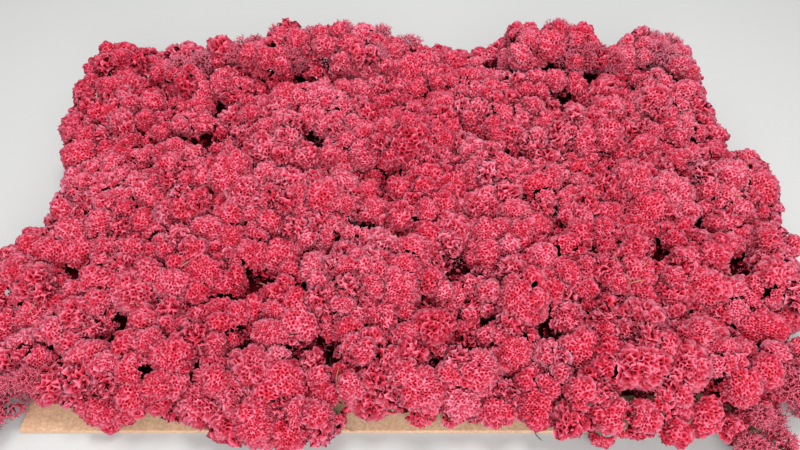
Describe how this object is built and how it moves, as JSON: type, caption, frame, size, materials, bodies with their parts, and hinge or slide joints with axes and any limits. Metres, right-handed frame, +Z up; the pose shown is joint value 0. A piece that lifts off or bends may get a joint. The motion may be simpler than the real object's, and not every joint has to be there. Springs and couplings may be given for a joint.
{
  "type": "moss clump",
  "caption": "Mat of dyed reindeer moss: lobed cushions of fine forking twigs, packed side by side on a flat sheet of kraft cardboard that they overhang.",
  "frame": {"origin": "centre of the underside of the cardboard sheet, on the surface the object rests on", "axes": "+Z up, +X along the sheet's long side to the viewer's right, +Y to the back edge, away from the viewer"},
  "size_m": [0.7394, 0.5002, 0.1106],
  "materials": {
    "cardboard": "matt natural kraft brown",
    "moss": "matt, dyed crimson pink, springy dry twigs"
  },
  "bodies": {
    "root": {"cushion_back_1": "moss", "cushion_back_2": "moss", "cushion_back_3": "moss", "cushion_back_4": "moss", "cushion_back_5": "moss", "cushion_back_6": "moss", "cushion_back_7": "moss", "cushion_back_8": "moss", "cushion_far_1": "moss", "cushion_far_2": "moss", "cushion_far_3": "moss", "cushion_far_4": "moss", "cushion_far_5": "moss", "cushion_far_6": "moss", "cushion_far_7": "moss", "cushion_front_1": "moss", "cushion_front_2": "moss", "cushion_front_3": "moss", "cushion_front_4": "moss", "cushion_front_5": "moss", "cushion_front_6": "moss", "cushion_front_7": "moss", "cushion_middle_1": "moss", "cushion_middle_2": "moss", "cushion_middle_3": "moss", "cushion_middle_4": "moss", "cushion_middle_5": "moss", "cushion_middle_6": "moss", "cushion_middle_7": "moss", "cushion_near_1": "moss", "cushion_near_2": "moss", "cushion_near_3": "moss", "cushion_near_4": "moss", "cushion_near_5": "moss", "cushion_near_6": "moss", "cushion_near_7": "moss", "cushion_near_8": "moss", "sheet": "cardboard", "sprig_left": "moss", "sprig_right": "moss"}
  },
  "joints": []
}
